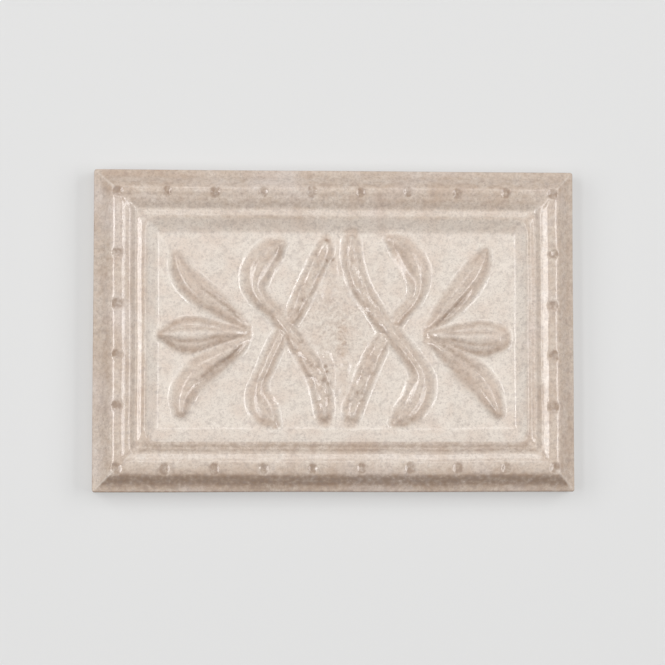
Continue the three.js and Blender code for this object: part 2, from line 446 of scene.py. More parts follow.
print(len(LEFT_HEART_PETAL), "stations on the left heart petal")

# %% Petals
PETAL_HEIGHT, HEART_HEIGHT = 1.9, 2.0
PETAL_MARGIN, HEART_MARGIN = 9, 10
VEIN_WIDTH, VEIN_DEPTH, VEIN_PLACE = 0.7, 0.4, 0.45
ALMOND_SHARE, CREASE_WIDTH, CREASE_DEPTH = 0.42, 0.6, 0.3
KEEL_WIDTH, KEEL_HEIGHT = 0.45, 0.1
RING_SHARE, RING_WIDTH = 0.95, 1.0


def from_root(along):
    """The rise of a petal: a smooth step, three tenths up at the root and whole a fifth along."""
    return eased(0.35 + along * 3)


def blade(stations, vein_side):
    """A petal: a bank along the path, less a bell groove to one side of its middle for the vein.

    The vein grows over the first sixth and fades from a third to three quarters of the way.
    """
    near, along, side, half, _ = nearest_on_path(placed(stations), PETAL_MARGIN)
    vein = groove(side - vein_side * half * VEIN_PLACE, VEIN_WIDTH)
    vein = vein * eased(along * 6) * (1 - eased(along * 2.2 - 0.7))
    height = PETAL_HEIGHT * ridge(side, half) * from_root(along) - VEIN_DEPTH * vein
    lay(near, height, top_stain(side, half), vein)


def heart(stations):
    """The drop: a bank, less a bell groove on both sides of the almond, plus a bell for the keel.

    Its rim gets a ring of stain, which is also painted shade on the flank, and the keel is paler,
    as a painted highlight.
    """
    near, along, side, half, length = nearest_on_path(placed(stations), HEART_MARGIN)
    window = eased((along - 0.2) * 5) * eased((1.02 - along) * length / 4)
    crease = groove(np.abs(side) - half * ALMOND_SHARE, CREASE_WIDTH) * window
    keel = groove(side, KEEL_WIDTH) * window
    bank = HEART_HEIGHT * ridge(side, half) * from_root(along)
    height = bank - CREASE_DEPTH * crease + KEEL_HEIGHT * keel
    # painted shade in the ring on the flank, and a painted highlight where the keel takes off stain
    ring = groove(np.abs(side) - half * RING_SHARE, RING_WIDTH)
    stain = 0.55 * top_stain(side, half) + 0.6 * ring + 0.35 * crease - 0.2 * keel
    lay(near, height, stain, 0.3 * crease + 0.45 * ring * window)


blade(LEFT_UPPER_PETAL, -1)
blade(LEFT_LOWER_PETAL, 1)
blade(RIGHT_UPPER_PETAL, -1)
blade(RIGHT_LOWER_PETAL, 1)
heart(LEFT_HEART_PETAL)
heart(RIGHT_HEART_PETAL)
print("petals rise", round(float(relief.max()), 2), "mm")

# %% [markdown]
# ## The laurel sprays
# Two sprays cross in each half of the panel. Each runs from an arm of leaflets, through the
# crossing, and along a thin stem into a broad leaf. The arm itself is a low bank. On it the
# leaflets lie three abreast: a middle one, and one on each side of it that starts a little
# later. Each is a narrow bank, highest at its tip, and stain gathers before it.

# %% Paths of the sprays: x, y and half width
LEFT_OVER_SPRAY = [
    (-3.8, -28.6, 1.5), (-4.4, -22.4, 2.4), (-5.3, -17.8, 2.7), (-6.9, -13.5, 2.7),
    (-9.2, -9.5, 2.5), (-11.7, -5.7, 2.1), (-14.2, -1.9, 1.8), (-17.0, 2.0, 1.7),
    (-20.2, 5.9, 1.7), (-23.8, 9.4, 2.0), (-26.0, 13.6, 2.9), (-25.1, 18.6, 4.1),
    (-22.8, 22.6, 4.0), (-19.8, 25.6, 2.7), (-17.9, 27.2, 0.6)]
LEFT_UNDER_SPRAY = [
    (-3.3, 29.0, 0.8), (-4.0, 25.3, 2.1), (-5.9, 21.1, 2.4), (-7.9, 16.9, 2.4),
    (-9.9, 12.7, 2.3), (-11.8, 8.4, 2.1), (-13.9, 4.3, 1.6), (-16.5, 0.3, 1.4),
    (-18.9, -4.0, 1.6), (-20.9, -8.2, 1.6), (-22.5, -11.9, 1.5), (-24.2, -15.8, 1.3),
    (-24.9, -19.6, 2.2), (-24.1, -23.0, 3.4), (-22.6, -26.0, 3.3), (-20.8, -28.2, 1.9),
    (-19.7, -29.4, 0.5)]
RIGHT_OVER_SPRAY = [
    (4.6, 30.6, 1.6), (4.8, 22.5, 2.4), (7.0, 14.6, 2.5), (11.1, 7.3, 2.3), (15.9, 0.8, 2.2),
    (21.4, -5.9, 2.0), (25.4, -11.5, 2.1), (26.9, -15, 2.9), (26.3, -18.5, 3.8),
    (25.1, -21.8, 4.0), (23.0, -25, 3.5), (20.6, -27.5, 2.3), (18.4, -29.0, 0.4)]
RIGHT_UNDER_SPRAY = [
    (4.3, -29.0, 1.4), (5.1, -24.3, 2.4), (6.4, -20.6, 2.5), (7.9, -17.0, 2.5),
    (9.4, -13.4, 2.5), (11.0, -9.8, 2.4), (12.9, -6.0, 2.2), (15.0, -2.2, 1.7),
    (17.6, 1.6, 1.4), (20.4, 5.1, 1.3), (23.3, 8.2, 1.3), (25.2, 11.2, 1.5), (25.9, 15.2, 2.4),
    (25.0, 19.2, 3.5), (23.2, 22.8, 3.8), (20.9, 25.9, 3.2), (18.6, 27.8, 1.9), (17.0, 28.8, 0.5)]
print(len(RIGHT_UNDER_SPRAY), "stations on the longest spray")

# %% Sprays
SPRAY_HEIGHT = 1.9
UNDER_HEIGHT = 1.65
UNDER_PRESS = 0.4
ARM_SHARE, ARM_HEIGHT = 0.4, 1.3
SPRAY_SPREAD = 0.35
SPRAY_MARGIN = 8
FULL_HEIGHT_HALF = 2.4
LEAF_VEIN_WIDTH, LEAF_VEIN_DEPTH = VEIN_WIDTH * 0.8, 0.1


def on_leaf_part(along):
    """1 on the last part of a spray, where the leaf is, and 0 before it."""
    return eased((along - 0.72) * 10)


def spray(stations, top_height):
    """A spray: a low arm up to a share of its length, then a stem, then a leaf with two veins.

    A narrow stem is lower than a broad one, and the sprays under it are pressed down by a share.
    """
    near, along, side, half, length = nearest_on_path(placed(stations), SPRAY_MARGIN)
    half = half + SPRAY_SPREAD * (1 + on_leaf_part(along))
    on_arm = 1 - eased((along - ARM_SHARE) * 12)
    on_leaf = on_leaf_part(along) * (1 - eased((along - 0.93) * 14))
    left_vein = groove(side - half * 0.3, LEAF_VEIN_WIDTH)
    right_vein = groove(side + half * 0.35, LEAF_VEIN_WIDTH)
    vein = (left_vein + 0.6 * right_vein) * on_leaf
    width_share = np.clip(half / FULL_HEIGHT_HALF, 0.3, 1) ** 0.6
    start = eased(0.2 + along * length / 2.5)
    crest = top_height * width_share * (1 - on_arm) + ARM_HEIGHT * on_arm
    height = (crest - LEAF_VEIN_DEPTH * vein) * ridge(side, half) * start
    relief[near] *= 1 - UNDER_PRESS * eased(height - 0.3)
    lay(near, height, top_stain(side, half), 0.5 * vein)
    leaflets(placed(stations), length * ARM_SHARE, top_height / SPRAY_HEIGHT)


print("sprays stand", UNDER_HEIGHT, "and", SPRAY_HEIGHT, "mm high")

# %% Leaflets
FIRST_LEAFLET, LAST_GAP = 0.6, 3
LEAFLET_LENGTH, LEAFLET_PITCH = 8.4, 9.2
LEAFLET_FOOT = 1.1
LEAFLET_MARGIN = 3
# which side a leaflet lies on, and how much later it starts
SIDE_LEAFLETS = ((0, 0), (1, 5.2), (-1, 6.6))
LEAFLET_STATIONS = np.array([0, 0.12, 0.35, 0.7, 1])
LEAFLET_WIDTHS = np.array([0.12, 0.3, 0.38, 0.34, 0.15])
TIP_HEIGHT, ROOT_HEIGHT = 1.8, 1.1
DARKEST_PIT, PIT_WIDTH, PIT_AHEAD = 0.8, 0.7, 0.8


def leaflets(stations, reach, scale):
    """Leaflets three abreast up to a reach: narrow banks, highest at the tip, where each starts.

    A leaflet's stations lie a way along the path and a part of the half width aside of it. Its
    height falls evenly from tip to root, and a dark bell of stain lies just ahead of the tip.
    """
    path = smooth_path(stations)
    distance = np.concatenate([[0], np.cumsum(np.hypot(*np.diff(path[:, :2], axis=0).T))])
    for first in np.arange(FIRST_LEAFLET, reach - LAST_GAP, LEAFLET_PITCH):
        for hand, late in SIDE_LEAFLETS:
            at = first + late + LEAFLET_STATIONS * LEAFLET_LENGTH
            px, py, half = (np.interp(at, distance, path[:, k]) for k in range(3))
            turn_x, turn_y = np.gradient(px, at), np.gradient(py, at)
            aside = hand * half * (0.62 - 0.2 * LEAFLET_STATIONS)
            widths = half * LEAFLET_WIDTHS
            leaf = np.stack([px - aside * turn_y, py + aside * turn_x, widths], axis=-1)
            near, along, side, half, length = nearest_on_path(leaf, LEAFLET_MARGIN)
            climb = TIP_HEIGHT + (ROOT_HEIGHT - TIP_HEIGHT) * along
            bank = ridge(side, half, LEAFLET_FOOT) * eased(0.3 + along * length / 1.2)
            stain = 0.45 + 0.4 * (first + late) / reach + 0.25 * along
            lay(near, scale * climb * bank, stain * top_stain(side, half), 0 * side)
            pit_x = leaf[0, 0] - PIT_AHEAD * turn_x[0]
            pit_y = leaf[0, 1] - PIT_AHEAD * turn_y[0]
            pit = groove(np.hypot(x - pit_x, y - pit_y), PIT_WIDTH)
            np.maximum(pooled_and_shade, shake.uniform(0, DARKEST_PIT) * pit, out=pooled_and_shade)


spray(LEFT_UNDER_SPRAY, UNDER_HEIGHT)
spray(RIGHT_UNDER_SPRAY, UNDER_HEIGHT)
spray(LEFT_OVER_SPRAY, SPRAY_HEIGHT)
spray(RIGHT_OVER_SPRAY, SPRAY_HEIGHT)
print("sprays done,", round(float(relief.max()), 2), "mm high")

# %% [markdown]
# Between the sprays lie a few low lobes, so worn that they are hardly more than swellings of the
# panel with a breath of stain. They are ridges like the rest, only lower and paler.

# %% Lobes
LOBE_HEIGHT = 0.5
LOBE_STAIN = 0.25
LOBE_MARGIN = 4
INNER_LOBES = [
    [(-1.0, 20.5, 0.7), (-1.4, 16.0, 1.3), (-3.2, 10.5, 0.6)],
    [(2.8, -11.0, 0.6), (2.1, -15.0, 1.2), (2.3, -19.5, 0.6)],
    [(-3.2, -8.0, 0.5), (-2.0, -12.5, 1.0), (-1.4, -17.5, 0.6)],
]
for lobe in INNER_LOBES:
    near, along, side, half, _ = nearest_on_path(placed(lobe), LOBE_MARGIN)
    lay(near, LOBE_HEIGHT * ridge(side, half), LOBE_STAIN * top_stain(side, half), 0 * side)
print(len(INNER_LOBES), "lobes")

# %% [markdown]
# ## Putting the face together
# The leaves stand on the panel, and where a tip reaches the bevel it runs up it, so the ornament
# fades out over the bevel. A faint ripple keeps the glaze from looking machined.

# %% Face heights
ORNAMENT_FADE = 3.5
GLAZE_RIPPLE, RIPPLE_WAVE, RIPPLE_SEED = 0.02, 9, 5

on_panel = eased(across(inset, PANEL_START - ORNAMENT_FADE, PANEL_START))
waver = ripple(x, y, RIPPLE_WAVE, RIPPLE_SEED) * across(inset, EDGE_ROUNDING, RIM_END)
face = face + relief * on_panel
face = face + GLAZE_RIPPLE * waver
face = np.minimum(face, CROWN_OVER_PANEL)
print("face from", round(float(face.min()), 2), "to", round(float(face.max()), 2), "mm")

# %% [markdown]
# ## The frame's stain, and painted light on it
# The frame carries a fawn stain up to the start of the bevel, a weaker one down the bevel of the
# top side, and none on the last bit along the bottom. It is paler along three lines, as painted
# light: the small bead of the top side and the inner side of the bottom bead, which face the
# light, and the wall under the lip except at the bottom, lightened against its shade. The
# arrises of the mitres lose almost all their stain, as a painted highlight.

# %% Fawn stain
TOP_BEVEL_STAIN = 0.42
STAIN_END = (BEVEL_START - 0.6, BEVEL_START + 0.8)
PANEL_EDGE = (PANEL_START - 0.5, PANEL_START + 0.5)
BOTTOM_STAIN_END = (15.2, 15.7)
MITRE_WIDTH, MITRE_HIGHLIGHT = 0.45, 0.8
RIM_TO_CROWN = (0.6, RIM_END), (SHOULDER_START, CROWN)
CROWN_TO_LIP = (CROWN + 1, CROWN + 2), (LIP, LIP + 0.6)

on_top = (y > 0) * across(inset_x - inset_y, 0, 1)
on_bottom = (y < 0) * across(inset_x - inset_y, 0, 2)
off_bottom = y + half_width > inset_x
frame_stain = 1 - eased(across(inset, *STAIN_END))
top_bevel = on_top * (1 - across(inset, *PANEL_EDGE))
frame_stain = np.maximum(frame_stain, TOP_BEVEL_STAIN * top_bevel)

# painted light: along these lines the stain is thinned where the faces turn to the light or stand
# in shade
# share that is missing, where, insets that the line follows, its middle and its width
PAINTED_LIGHT_LINES = [
    (0.5, on_top, inset, 14.0, 1.0),
    (0.3, off_bottom, inset + drift, LIP + 0.8, 0.8),
    (0.4, on_bottom, inset, 10.4, 2.4),
]
for share, where, line, middle, width in PAINTED_LIGHT_LINES:
    frame_stain = frame_stain * (1 - share * where * groove(line - middle, width))
frame_stain = frame_stain * (1 - on_bottom * across(inset, *BOTTOM_STAIN_END))

# painted highlight: the stain is taken off along the arrises of the mitres
on_arris = band(*RIM_TO_CROWN) + (x < 0) * band(*CROWN_TO_LIP)
mitre_highlight = groove(inset_x - inset_y, MITRE_WIDTH) * on_arris
frame_stain = frame_stain * (1 - MITRE_HIGHLIGHT * mitre_highlight)
print("mean stain of the frame", round(float(frame_stain[inset < BEVEL_START].mean()), 2))

# %% [markdown]
# ## Brown where the glaze ran thin, dark where it gathered, and painted shade
# Glaze runs off the slopes, so they are browner than the flats. The slopes that face the bottom
# edge or the right, and the flanks of the leaves that face the bottom, are browned further as
# painted shade, the steep ones facing the bottom with dark brown. The steepness comes from the
# heights, so it needs no drawing. The stain gathers in the dents and grooves, which the code above
# knows too, and the inner side of the top bead is darkened as painted shade. Only a few pinholes
# and the faint mark in the middle have places of their own.

# %% Brown slopes and painted shade
LEAF_STAIN, LEE_SHADE = 0.78, 1.1
SLOPE_STAIN, BOTTOM_SLOPE_STAIN_AND_SHADE, RIGHT_SLOPE_STAIN_AND_SHADE = 0.25, 1.1, 0.25
THIN_AND_SHADE_GAIN = 1.15

# painted shade: the flanks of the leaves that face the bottom edge are browned further, by lee
lee = np.clip(np.gradient(relief, y[:, 0], axis=0), 0, 1)
slope_x, slope_y = np.gradient(face, x[0], axis=1), np.gradient(face, y[:, 0], axis=0)
# painted shade: slopes that face the bottom edge or the right get brown on top of the brown of thin
# glaze
facing_bottom = np.clip(slope_y, 0, 1) * (y < 0)
facing_right = np.clip(-slope_x, 0, 1)
thin_glaze_and_shade = SLOPE_STAIN * np.hypot(slope_x, slope_y)
thin_glaze_and_shade = thin_glaze_and_shade + BOTTOM_SLOPE_STAIN_AND_SHADE * facing_bottom + RIGHT_SLOPE_STAIN_AND_SHADE * facing_right
inner_side = across(inset, CROWN + on_bottom * 0.5, LIP + 0.5)
thin_glaze_and_shade = np.clip(THIN_AND_SHADE_GAIN * thin_glaze_and_shade, 0, 1) * (1 - inner_side)
leaf_stain_and_shade = np.clip(brown * (LEAF_STAIN + LEE_SHADE * lee), 0, 1) * on_panel
brown = np.maximum(leaf_stain_and_shade, thin_glaze_and_shade) * (1 - MITRE_HIGHLIGHT * mitre_highlight)
print("brown covers", round(float((brown > 0.5).mean()) * 100), "in 100 points")

# %% Pooled stain and painted shade
BOTTOM_GROOVE = (12.3, 12.8), BOTTOM_STAIN_END
TOP_GROOVE = (9.0, 9.9), (12.4, 12.9)
BOTTOM_GROOVE_STAIN, TOP_GROOVE_SHADE = 0.5, 0.32
DENT_STAIN, DENT_STAIN_REACH = 1.3, 1.8
STEEP, STEEP_SHADE_AND_STAIN = 0.35, 3.2
PINHOLE_WIDTH, PINHOLE_DARKNESS = 0.75, 1.3
PINHOLES = [
    (-2.5, 28.6), (-5.5, 20.6), (-2.4, 22.5), (-0.5, 22.5), (-10.0, 9.6), (-11.6, 6.4),
    (-3.0, -11.3), (-2.4, -12.9), (-3.6, -15.5), (-1.7, -16.7), (7.2, -19.5), (8.6, -19.6)]

# the bottom groove holds gathered glaze; along the top, the bead's inner side and its groove face
# away from the light and are darkened as painted shade
groove_stain_and_shade = BOTTOM_GROOVE_STAIN * on_bottom * band(*BOTTOM_GROOVE)
groove_stain_and_shade = groove_stain_and_shade + TOP_GROOVE_SHADE * on_top * band(*TOP_GROOVE)
# painted shade: steep slopes that face the bottom edge get dark brown along with their stain
steep_shade_and_stain = STEEP_SHADE_AND_STAIN * np.clip(facing_bottom - STEEP, 0, 1) * thin_glaze_and_shade
dent_stain = DENT_STAIN * eased(dents * DENT_STAIN_REACH)
pooled_and_shade = np.clip(pooled_and_shade * on_panel + groove_stain_and_shade + steep_shade_and_stain + dent_stain, 0, 1)
for hole_x, hole_y in PINHOLES:
    hole = groove(np.hypot(x - hole_x, y - hole_y), PINHOLE_WIDTH)
    pooled_and_shade = np.maximum(pooled_and_shade, PINHOLE_DARKNESS * hole)
print(len(PINHOLES), "pinholes")

# %% The mark in the middle
MARK = [(1.4, 2.2, 0.6), (2.0, -2.0, 1.2), (1.6, -6.6, 1.3)]
MARK_MARGIN, MARK_WIDTH = 6, 2.0
HALO_X, HALO_Y = 0.5, 1.0
HALO_STAIN, HALO_WIDTH, HALO_STRETCH = 0.5, 11, 1.6

blotch = HALO_STAIN * groove(np.hypot(x - HALO_X, (y - HALO_Y) / HALO_STRETCH), HALO_WIDTH)
near, along, side, half, _ = nearest_on_path(placed(MARK), MARK_MARGIN)
mark = groove(np.maximum(np.abs(side) - half * 0.4, 0), MARK_WIDTH)
blotch[near] = np.maximum(blotch[near], mark)
print("the mark covers", int((mark > 0.5).sum()), "points")

# %% [markdown]
# ## From heights to a mesh
# The face becomes a grid of four-sided cells. Its border is copied down in a few loops for the
# side walls. The plain lower part of the walls needs fewer points, so one row of faces steps
# down to a coarser loop, and the last of those is closed with one flat face for the back. The
# outer corners are rounded in plan by squeezing the square cells there into a quarter circle.

# %% Plan positions
CORNER_ROUNDING = 0.8
LEAN = 0.4
EDGE_WAVER, EDGE_WAVE = 0.12, 60
LONG_EDGE_SEED, SHORT_EDGE_SEED = 9, 8


def round_corners(u, v):
    """In the corner squares, keeps a point's larger offset as its distance from the centre."""
    centre_u, centre_v = half_length - CORNER_ROUNDING, half_width - CORNER_ROUNDING
    off_u, off_v = np.maximum(np.abs(u) - centre_u, 0), np.maximum(np.abs(v) - centre_v, 0)
    reach = np.hypot(off_u, off_v)
    both = (off_u > 0) & (off_v > 0)
    scale = np.where(both, np.maximum(off_u, off_v) / np.where(reach > 0, reach, 1), 1)
    rounded_u = np.where(both, np.sign(u) * (centre_u + off_u * scale), u)
    rounded_v = np.where(both, np.sign(v) * (centre_v + off_v * scale), v)
    return rounded_u, rounded_v


def drawn_in(plan, half, seed):
    """Draws the outer edge in by up to the waver, in long waves that fade out over the rim."""
    wave = (1 + ripple(x, y, EDGE_WAVE, seed)) / 2 * (1 - across(inset, 0, RIM_END))
    return plan * (1 - EDGE_WAVER / half * wave)


plan_x, plan_y = round_corners(x, y)
top_left = np.clip(-plan_x / half_length, 0, 1) * (plan_y / half_width + 1) / 2
plan_x = plan_x + LEAN * top_left
plan_x = drawn_in(plan_x, half_length, SHORT_EDGE_SEED)
plan_y = drawn_in(plan_y, half_width, LONG_EDGE_SEED)
print("plan", round(float(np.ptp(plan_x)), 1), "by", round(float(np.ptp(plan_y)), 1), "mm")

# %% The loops of the walls
GLAZE_LINE = 2.4
GLAZE_WAVER, GLAZE_WAVE, GLAZE_SEED = 0.5, 14, 6
BACK_CHAMFER = 0.25
CORNER_POINTS, COARSE_STEP = 7, 24
fine_heights = [PANEL + RIM_HEIGHT - EDGE_ROUNDING * 2, 5.5, GLAZE_LINE + 0.8, GLAZE_LINE]
coarse_heights = [1.2, BACK_CHAMFER, 0.0]

face_points = np.stack([plan_x, plan_y, face + PANEL], axis=-1).reshape(-1, 3)
number = np.arange(x.size).reshape(x.shape)
cell_corners = [number[:-1, :-1], number[:-1, 1:], number[1:, 1:], number[1:, :-1]]
cells = np.stack(cell_corners, axis=-1).reshape(-1, 4)
border = np.concatenate([number[0, :-1], number[:-1, -1], number[-1, :0:-1], number[:0:-1, 0]])

columns, rows = x.shape[1] - 1, x.shape[0] - 1
corners = np.cumsum([0, columns, rows, columns, rows])
from_corner = np.abs(np.arange(len(border))[:, None] - corners).min(axis=1)
kept = np.flatnonzero((from_corner <= CORNER_POINTS) | (from_corner % COARSE_STEP == 0))


def loops_below(around, heights):
    """Copies of a ring of face points, each moved down to one of the heights over the back."""
    return [face_points[around] * (1, 1, 0) + (0, 0, height) for height in heights]


fine_loops = loops_below(border, fine_heights)
coarse_loops = loops_below(border[kept], coarse_heights)
glaze_edge, back_edge = fine_loops[-1], coarse_loops[-1]
glaze_edge[:, 2] += GLAZE_WAVER * ripple(glaze_edge[:, 0], glaze_edge[:, 1], GLAZE_WAVE, GLAZE_SEED)
coarse_loops[-1] = back_edge - np.sign(back_edge) * (BACK_CHAMFER, BACK_CHAMFER, 0)
points = np.concatenate([face_points] + fine_loops + coarse_loops)
print(len(border), "points round the face,", len(kept), "round the back")

# %% The closed body


def loop_numbers(first, loops):
    """The point numbers of each loop, when the loops follow each other from a first number on."""
    return [first + k * len(loop) + np.arange(len(loop)) for k, loop in enumerate(loops)]


def wall_rows(numbers):
    """Four-sided faces between each ring of numbers and the next one down."""
    rings = []
    for upper, lower in zip(numbers[:-1], numbers[1:]):
        rings.append(np.stack([upper, lower, np.roll(lower, -1), np.roll(upper, -1)], axis=-1))
    return np.concatenate(rings).tolist()


fine_numbers = [border] + loop_numbers(len(face_points), fine_loops)
coarse_numbers = loop_numbers(len(face_points) + len(fine_loops) * len(border), coarse_loops)
step_down = []
for k, (first, last) in enumerate(zip(kept, np.append(kept[1:], len(border)))):
    above = fine_numbers[-1][np.arange(last, first - 1, -1) % len(border)]
    below = coarse_numbers[0][[k, (k + 1) % len(kept)]]
    step_down.append(above.tolist() + below.tolist())
glazed_faces = cells.tolist() + wall_rows(fine_numbers)
bare_faces = step_down + wall_rows(coarse_numbers) + [coarse_numbers[-1][::-1].tolist()]

mesh = bpy.data.meshes.new("glazed_tile")
mesh.from_pydata((points * METRES).tolist(), [], glazed_faces + bare_faces)
flat_back = len(mesh.polygons) - 1
mesh.polygons.foreach_set("use_smooth", np.arange(len(mesh.polygons)) < flat_back)
tile = bpy.data.objects.new("glazed_tile", mesh)
bpy.context.scene.collection.objects.link(tile)
print(len(mesh.polygons), "faces,", sum(len(p.vertices) - 2 for p in mesh.polygons), "triangles")

# %% [markdown]
# The glaze was poured over the face and ran a little way down the walls. Below its wavy edge and
# on the back the fired clay is bare, so those faces get a second material.

# %% Bare faces
is_bare = np.arange(len(mesh.polygons)) >= len(glazed_faces)
mesh.polygons.foreach_set("material_index", is_bare.astype(int))
print(int(is_bare.sum()), "bare faces")

# %% [markdown]
# ## The stain goes with the mesh
# A pattern that follows the leaves can't be a noise in space. The four arrays are therefore
# stored on the mesh, one number for each point, and the glaze's shader reads them by name. The
# walls lie outside the arrays, so for each name they get one number throughout.

# %% The stain's attributes
ON_WALLS = {"moulded": 1.0, "brown": 0.35, "pooled_and_shade": 0.0, "blotch": 0.0}
wall_count = len(points) - len(face_points)
stains_with_painted_light = {"brown": brown, "pooled_and_shade": pooled_and_shade, "moulded": frame_stain, "blotch": blotch}
for name, values in stains_with_painted_light.items():
    attribute = mesh.attributes.new(name, "FLOAT", "POINT")
    on_walls = np.full(wall_count, ON_WALLS[name])
    attribute.data.foreach_set("value", np.concatenate([values.ravel(), on_walls]))
    print(name, round(float(values.min()), 2), "to", round(float(values.max()), 2))

# %% [markdown]
# ## The glaze
# A cream glaze with a brown stain. The arrays from above say where the stain lies, and noise
# frays its edge. Fine grey and brown specks lie all over, since iron in the clay burns through
# the glaze. The glaze is glossy on the frame and a little duller in patches on the panel, less so
# on the leaves, and a bump finer than the mesh gives it its pitted skin. Each layer is one colour
# laid over what is there, so the whole glaze can be written down as a table.

# %% Node helpers
BUMP_DISTANCE = 0.0002


def open_material(name):
    """A new material, with its nodes and links, its shader and the piece's own coordinates."""
    material = bpy.data.materials.new(name)
    material.use_nodes = True
    tree = material.node_tree
    place = tree.nodes.new("ShaderNodeTexCoord").outputs["Object"]
    return material, tree.nodes, tree.links, tree.nodes["Principled BSDF"], place


def noise(scale, detail=2.0, roughness=0.5):
    """Cloudy noise with its size given as waves in a metre."""
    node = nodes.new("ShaderNodeTexNoise")
    node.inputs["Scale"].default_value = scale
    node.inputs["Detail"].default_value = detail
    node.inputs["Roughness"].default_value = roughness
    links.new(coordinates, node.inputs["Vector"])
    return node.outputs["Fac"]


def stretched(value, low, high):
    """Spreads the range from low to high over 0 to 1 and cuts off the rest."""
    node = nodes.new("ShaderNodeMapRange")
    node.inputs["From Min"].default_value = low
    node.inputs["From Max"].default_value = high
    links.new(value, node.inputs["Value"])
    return node.outputs["Result"]


def combined(operation, first, second):
    """One sum or product of two values; either may be a plain number."""
    node = nodes.new("ShaderNodeMath")
    node.operation = operation
    for socket, value in zip(node.inputs, (first, second)):
        if isinstance(value, (int, float)):
            socket.default_value = value
        else:
            links.new(value, socket)
    return node.outputs["Value"]


def painted(under, over, amount):
    """Lays one colour over another by an amount; a colour is three numbers or a node's output."""
    node = nodes.new("ShaderNodeMix")
    node.data_type = "RGBA"
    links.new(amount, node.inputs["Factor"])
    for socket, colour in ((node.inputs[6], under), (node.inputs[7], over)):
        if isinstance(colour, tuple):
            socket.default_value = (*colour, 1)
        else:
            links.new(colour, socket)
    return node.outputs[2]


def stored(name):
    """The number that the mesh keeps under a name for each point."""
    node = nodes.new("ShaderNodeAttribute")
    node.attribute_name = name
    return node.outputs["Fac"]


def pitted(height, strength):
    """Tilts the shader's normals by the slopes of a height pattern."""
    node = nodes.new("ShaderNodeBump")
    node.inputs["Strength"].default_value = strength
    node.inputs["Distance"].default_value = BUMP_DISTANCE
    links.new(height, node.inputs["Height"])
    links.new(node.outputs["Normal"], shader.inputs["Normal"])


glaze, nodes, links, shader, coordinates = open_material("speckled_glaze")
print("opened", glaze.name)

# %% Glaze colours
CREAM = (0.715, 0.647, 0.578)
WARM_CREAM = (0.67, 0.575, 0.50)
FAWN = (0.53, 0.425, 0.343)
BROWN = (0.45, 0.32, 0.235)
DARK_BROWN = (0.25, 0.165, 0.11)
SPECK = (0.36, 0.30, 0.27)
MILK = (0.69, 0.62, 0.585)

cloud = noise(160, 3)
film = noise(55, 3, 0.6)
patches = noise(75, 4, 0.7)
mottles = noise(300, 3, 0.6)
flecks = noise(600, 2, 0.6)
fray = noise(650, 4, 0.6)
fine = noise(1300, 5, 0.75)
grit = noise(2600, 3, 0.8)

# the stored attributes also carry painted shade and painted light, besides the stain
# colour, attribute that says where it lies, noise, range of the noise that counts, strength
LAYERS = [
    (WARM_CREAM, None, cloud, (0.42, 0.7), 1.0),
    (FAWN, "moulded", fray, (0.1, 0.72), 1.0),
    (BROWN, "brown", fray, (-0.1, 0.72), 0.76),
    (DARK_BROWN, "brown", mottles, (0.5, 0.66), 0.26),
    (BROWN, "blotch", fray, (0.3, 0.6), 0.7),
    (MILK, "moulded", film, (0.5, 0.66), 0.4),
    (BROWN, "moulded", patches, (0.48, 0.68), 0.5),
    (DARK_BROWN, "pooled_and_shade", fray, (0.2, 0.6), 0.68),
    (SPECK, None, flecks, (0.5, 0.72), 0.36),
    (SPECK, None, fine, (0.5, 0.66), 0.42),
    (SPECK, None, grit, (0.5, 0.68), 0.25),
]
colour = CREAM
for layer, place, pattern, counted, strength in LAYERS:
    amount = stretched(pattern, *counted)
    if place:
        amount = combined("MULTIPLY", stored(place), amount)
    colour = painted(colour, layer, combined("MULTIPLY", amount, strength))
links.new(colour, shader.inputs["Base Color"])
print(len(LAYERS), "layers over the cream")

# %% Gloss and skin
DULLEST, FRAYED = 0.22, 0.22
LEAF_GLOSS = 0.55
GLAZE_IOR = 1.52
SKIN_STRENGTH = 0.12

off_frame = combined("SUBTRACT", 1.0, stored("moulded"))
off_leaves = combined("SUBTRACT", 1.0, combined("MULTIPLY", stored("brown"), LEAF_GLOSS))
dull_patches = stretched(noise(130, 3, 0.6), 0.48, 0.64)
dull = combined("MULTIPLY", combined("MULTIPLY", off_frame, off_leaves), dull_patches)
softness = combined("ADD", combined("MULTIPLY", dull, DULLEST), combined("MULTIPLY", fray, FRAYED))
links.new(softness, shader.inputs["Roughness"])
shader.inputs["IOR"].default_value = GLAZE_IOR
pitted(combined("ADD", noise(900, 2), combined("MULTIPLY", fine, 0.3)), SKIN_STRENGTH)
mesh.materials.append(glaze)
print(len(nodes), "nodes in the glaze")

# %% [markdown]
# ## The bare clay
# Fired clay without glaze is dry and even, with fine grains of sand in it. It is the same warm
# colour all over, a little patchy, and has hardly any gloss.

# %% Bare clay
SAND = (0.62, 0.50, 0.40)
DRY_SHADOW = (0.50, 0.39, 0.30)
CLAY_ROUGHNESS = 0.85
GRAIN_STRENGTH = 0.5

clay, nodes, links, shader, coordinates = open_material("bare_clay")
sand = noise(1500, 4, 0.7)
colour = painted(SAND, DRY_SHADOW, stretched(noise(60, 4, 0.6), 0.35, 0.7))
grains = combined("MULTIPLY", stretched(sand, 0.5, 0.68), 0.6)
links.new(painted(colour, DRY_SHADOW, grains), shader.inputs["Base Color"])
shader.inputs["Roughness"].default_value = CLAY_ROUGHNESS
pitted(sand, GRAIN_STRENGTH)
mesh.materials.append(clay)
print(len(nodes), "nodes in the clay")

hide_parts("tile")
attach(tile, "root")

# %% [markdown]
# ## Floor and light
# The tile lies on a pale grey sheet, which glows faintly so that it is as light as a sheet in a
# studio full of lamps. Three narrow strips, left, right and beyond the top edge, draw the long
# bright lines on the glaze. Two broad boxes and a lamp overhead give the rest of the light. They
# are hidden from reflections, so they draw no lines of their own.

